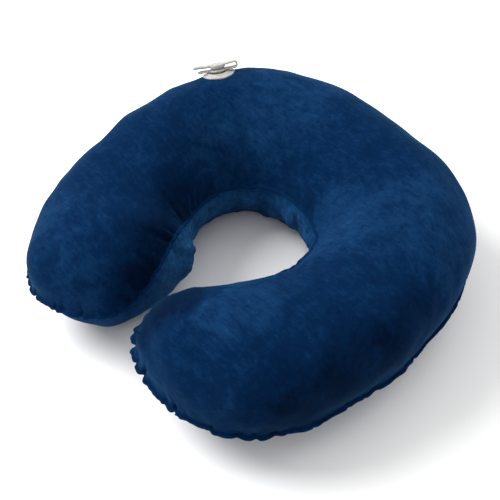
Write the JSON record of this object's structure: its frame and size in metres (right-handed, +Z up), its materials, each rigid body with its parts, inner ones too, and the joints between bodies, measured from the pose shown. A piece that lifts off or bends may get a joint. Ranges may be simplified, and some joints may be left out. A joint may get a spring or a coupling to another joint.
{
  "type": "neck pillow",
  "caption": "Inflatable U shaped travel neck pillow of two welded flocked sheets, with a push-in mouth valve whose cap hangs on a strap.",
  "frame": {"origin": "on the floor under the middle of the whole outline", "axes": "+Z up, +Y towards the middle of the back, the arms open towards -Y, and the valve is on the -X arm"},
  "size_m": [0.3503, 0.3432, 0.1239],
  "materials": {
    "flocked_sheet": "soft brushed flock",
    "welded_flock": "flock pressed flat by the weld",
    "white_pvc": "satin soft PVC",
    "clear_pvc": "satin film"
  },
  "bodies": {
    "pillow": {"top_sheet": "flocked_sheet", "bottom_sheet": "flocked_sheet", "weld_band": "welded_flock", "valve_flange": "white_pvc"},
    "stem": {"valve_stem": "white_pvc", "cap_strap": "white_pvc"},
    "cap": {"valve_cap": "white_pvc"},
    "flap": {"check_flap": "clear_pvc"}
  },
  "joints": [
    {"name": "stem_push", "type": "slide", "parent": "pillow", "child": "stem", "axis": [-0.3722, 0.1596, 0.9143], "range_m": [0, 0.008]},
    {"name": "cap_swing", "type": "hinge", "parent": "stem", "child": "cap", "pos_m": [-0.13001, 0.09683, 0.12245], "axis": [-0.7116, 0.5834, -0.3915], "range_deg": [0, 150]},
    {"name": "flap_swing", "type": "hinge", "parent": "stem", "child": "flap", "pos_m": [-0.1269, 0.08461, 0.09862], "axis": [0.7116, -0.5834, 0.3915], "range_deg": [0, 55]}
  ]
}
